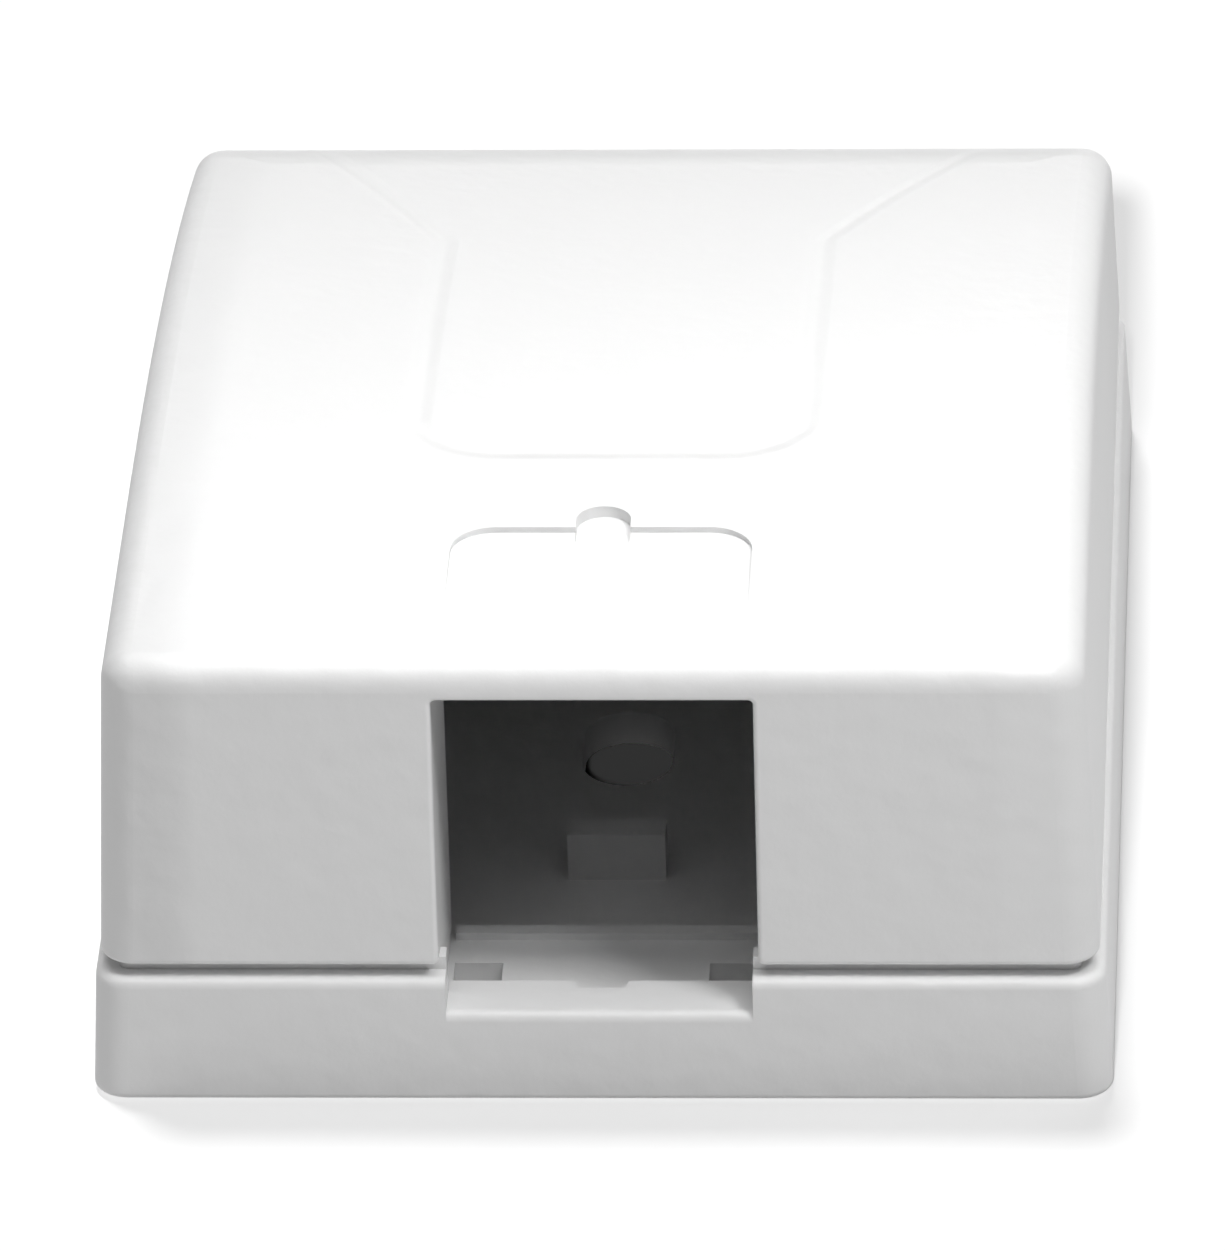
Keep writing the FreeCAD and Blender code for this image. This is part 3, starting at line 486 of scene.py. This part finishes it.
def die_cut_tape(name, node, settings):
    """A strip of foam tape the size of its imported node, with round corners and slightly hollow cut sides."""
    corners = [node.matrix_world @ Vector(corner) for corner in node.bound_box]
    low, high = (Vector(pick(corner[axis] for corner in corners) for axis in range(3)) for pick in (min, max))
    size, middle = high - low, (low + high) / 2
    mesh = bmesh.new()
    bmesh.ops.create_cube(mesh, size=1.0)
    for vertex in mesh.verts:
        vertex.co = Vector((vertex.co[axis] + 0.5) * size[axis] + low[axis] for axis in range(3))
    upright = [edge for edge in mesh.edges
               if abs(edge.verts[0].co.z - edge.verts[1].co.z) > 0.5 * size.z]
    bmesh.ops.bevel(mesh, geom=upright, offset=settings.tape_corner, segments=CORNER_SEGMENTS, profile=0.5,
                    affect="EDGES")
    for axis, step in ROWS:
        count = round(size[axis] / step)
        for cut in range(1, count):
            place, normal = low.copy(), Vector((0.0, 0.0, 0.0))
            place[axis] += size[axis] * cut / count
            normal[axis] = 1.0
            bmesh.ops.bisect_plane(mesh, geom=mesh.verts[:] + mesh.edges[:] + mesh.faces[:], plane_co=place,
                                   plane_no=normal, dist=CUT_TOLERANCE)
    straight_x, straight_y = (size[axis] / 2 - settings.tape_corner for axis in (0, 1))
    for vertex in mesh.verts:
        level = 2.0 * (vertex.co.z - low.z) / size.z - 1.0
        ragged = 0.5 + 0.5 * noise.noise(vertex.co / RAGGED_SIZE)
        inward = settings.tape_hollow * (1.0 - level * level) * (LEAST_HOLLOW + (1.0 - LEAST_HOLLOW) * ragged)
        along = vertex.co.y - middle.y
        out = Vector((vertex.co.x - middle.x, 0.0, 0.0))
        if abs(along) > straight_y:
            out.x = math.copysign(max(abs(out.x) - straight_x, 0.0), out.x)
            out.y = along - math.copysign(straight_y, along)
        if out.length > 0.0:
            vertex.co -= out.normalized() * inward
    bmesh.ops.recalc_face_normals(mesh, faces=mesh.faces)
    data = bpy.data.meshes.new(name)
    mesh.to_mesh(data)
    mesh.free()
    tape = new_object(name, data)
    data.shade_smooth()
    data.set_sharp_from_angle(angle=SHARP_ANGLE)
    return tape


def new_floor(settings):
    """The floor that the box stands on."""
    mesh = bpy.data.meshes.new("floor")
    outline = [(-FLOOR_REACH, -FLOOR_REACH, 0), (FLOOR_REACH, -FLOOR_REACH, 0),
               (FLOOR_REACH, FLOOR_REACH, 0), (-FLOOR_REACH, FLOOR_REACH, 0)]
    mesh.from_pydata(outline, [], [(0, 1, 2, 3)])
    floor = new_object("floor", mesh)
    mesh.materials.append(floor_material(settings))
    return floor


# ---- lights and camera ---------------------------------------------------------------------------

def new_light(name, kind, place, target, power):
    """A light at a place, aimed at a target."""
    data = bpy.data.lights.new(name, kind)
    data.energy = power
    light = new_object(name, data)
    light.location = place
    light.rotation_euler = (target - place).to_track_quat("-Z", "Y").to_euler()
    return light


def sun_light(name, place, target, angle, strength, reaches):
    """A sun that shines from a place to a target, with the things that it reaches."""
    light = new_light(name, "SUN", place, target, strength)
    light.data.angle = angle
    light.light_linking.receiver_collection = reaches


def area_light(name, place, target, size, power, reaches):
    """A square soft light at a place, aimed at a target, with the things that it reaches."""
    light = new_light(name, "AREA", place, target, power)
    light.data.size = size
    light.light_linking.receiver_collection = reaches


def receivers(name, thing, state):
    """A collection that lets a light reach only one thing, or everything but that thing."""
    collection = bpy.data.collections.new(name)
    collection.objects.link(thing)
    collection.collection_objects[0].light_linking.link_state = state
    return collection


def toward(turn, rise, distance):
    """The place at a turn to the right of the front, a rise over the floor and a distance."""
    direction = Vector((math.sin(turn) * math.cos(rise), -math.cos(turn) * math.cos(rise), math.sin(rise)))
    return direction * distance


def dark_world():
    """A world that gives no light of its own."""
    world = bpy.data.worlds.new("studio")
    world.use_nodes = True
    background = world.node_tree.nodes["Background"]
    background.inputs["Color"].default_value = WHITE
    background.inputs["Strength"].default_value = 0.0
    return world


def new_lights(settings, floor):
    """Two suns that draw the shadow on the floor, and four soft lights that reach everything else."""
    middle = (CAD_BOX[0] + CAD_BOX[1]) / 2
    the_floor = receivers("lit_by_floor_sun", floor, "INCLUDE")
    the_rest = receivers("lit_by_studio", floor, "EXCLUDE")
    front_sun_place = toward(FRONT_SUN_TURN, FRONT_SUN_RISE, FRONT_SUN_DISTANCE)
    for name, place, angle, strength in (
            ("rear_sun", Vector(REAR_SUN_PLACE), REAR_SUN_ANGLE, settings.rear_sun),
            ("front_sun", front_sun_place, FRONT_SUN_ANGLE, settings.front_sun)):
        sun_light(name, middle + place, middle, angle, strength, the_floor)
    for name, place, size, power in (
            ("key_light", toward(KEY_TURN, KEY_RISE, KEY_DISTANCE), KEY_SIZE, settings.key_power),
            ("top_light", Vector(TOP_PLACE), TOP_SIZE, settings.top_power),
            ("rear_light", Vector(REAR_PLACE), REAR_SIZE, settings.rear_power),
            ("fill_light", Vector(FILL_PLACE), FILL_SIZE, settings.fill_power)):
        area_light(name, middle + place, middle, size, power, the_rest)


def new_camera(settings):
    """The camera, looking down on the front and the opening."""
    data = bpy.data.cameras.new("camera")
    data.lens = settings.focal_length
    data.sensor_width = SENSOR_WIDTH
    data.sensor_fit = "HORIZONTAL"
    data.clip_end = CLIP_END
    camera = new_object("camera", data)
    out = toward(settings.turn, settings.rise, 1.0)
    level = Vector((math.cos(settings.turn), math.sin(settings.turn), 0.0))
    upright = level.cross(-out)
    cosine, sine = math.cos(settings.roll), math.sin(settings.roll)
    across, up = cosine * level + sine * upright, cosine * upright - sine * level
    facing = Matrix((across, up, out)).transposed().to_4x4()
    camera.matrix_world = Matrix.Translation(CAMERA_TARGET + out * settings.distance) @ facing
    return camera


# ---- operators -----------------------------------------------------------------------------------

class JACKBOX_OT_mouldings(Operator):
    """Dresses the base and the cover"""
    bl_idname = "jackbox.mouldings"
    bl_label = "Dress mouldings"

    def execute(self, context):
        settings = context.scene.jackbox_plastic
        for node in ("base", "cover"):
            put_on(node, plastic_material(f"{node}_plastic_dressed", settings, top=node == "cover"))
        return {"FINISHED"}


class JACKBOX_OT_tapes(Operator):
    """Dresses the foam tapes and their liners"""
    bl_idname = "jackbox.tapes"
    bl_label = "Dress tapes"

    def execute(self, context):
        settings = context.scene.jackbox_tapes
        foam, liner = foam_material("foam_dressed", settings), liner_material("liner_dressed", settings)
        for side in ("left", "right"):
            node = f"foam_tape_{side}"
            tape = die_cut_tape(f"{node}_dressed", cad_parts[node], settings)
            tape.data.materials.append(foam)
            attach(tape, "base")
            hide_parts(node)
            put_on(f"tape_liner_{side}", liner)
        return {"FINISHED"}


class JACKBOX_OT_stage(Operator):
    """Makes the floor, the lights and the camera"""
    bl_idname = "jackbox.stage"
    bl_label = "Make stage"

    def execute(self, context):
        settings, scene = context.scene.jackbox_stage, context.scene
        floor = new_floor(settings)
        scene.world = dark_world()
        new_lights(settings, floor)
        scene.view_settings.view_transform = "Standard"
        scene.camera = new_camera(settings)
        return {"FINISHED"}


class JACKBOX_PT_panel(Panel):
    """The sidebar panel with the settings and one button for each step"""
    bl_idname = "JACKBOX_PT_panel"
    bl_label = "Jack Box"
    bl_space_type = "VIEW_3D"
    bl_region_type = "UI"
    bl_category = "Jack Box"

    def draw(self, context):
        scene = context.scene
        for settings in (scene.jackbox_plastic, scene.jackbox_tapes, scene.jackbox_stage):
            box = self.layout.box()
            for name in settings.bl_rna.properties.keys():
                if name not in ("rna_type", "name"):
                    box.prop(settings, name)
        for operator in STEPS:
            self.layout.operator(operator.bl_idname)


STEPS = (JACKBOX_OT_mouldings, JACKBOX_OT_tapes, JACKBOX_OT_stage)
CLASSES = (PlasticSettings, TapeSettings, StageSettings, *STEPS, JACKBOX_PT_panel)


def register():
    """Adds the classes and the scene's settings."""
    for cls in CLASSES:
        bpy.utils.register_class(cls)
    bpy.types.Scene.jackbox_plastic = PointerProperty(type=PlasticSettings)
    bpy.types.Scene.jackbox_tapes = PointerProperty(type=TapeSettings)
    bpy.types.Scene.jackbox_stage = PointerProperty(type=StageSettings)


def unregister():
    """Takes them away again."""
    del bpy.types.Scene.jackbox_stage
    del bpy.types.Scene.jackbox_tapes
    del bpy.types.Scene.jackbox_plastic
    for cls in reversed(CLASSES):
        bpy.utils.unregister_class(cls)


def main():
    """Makes every piece and the stage."""
    register()
    bpy.ops.jackbox.mouldings()
    bpy.ops.jackbox.tapes()
    bpy.ops.jackbox.stage()


if __name__ == "__main__":
    main()
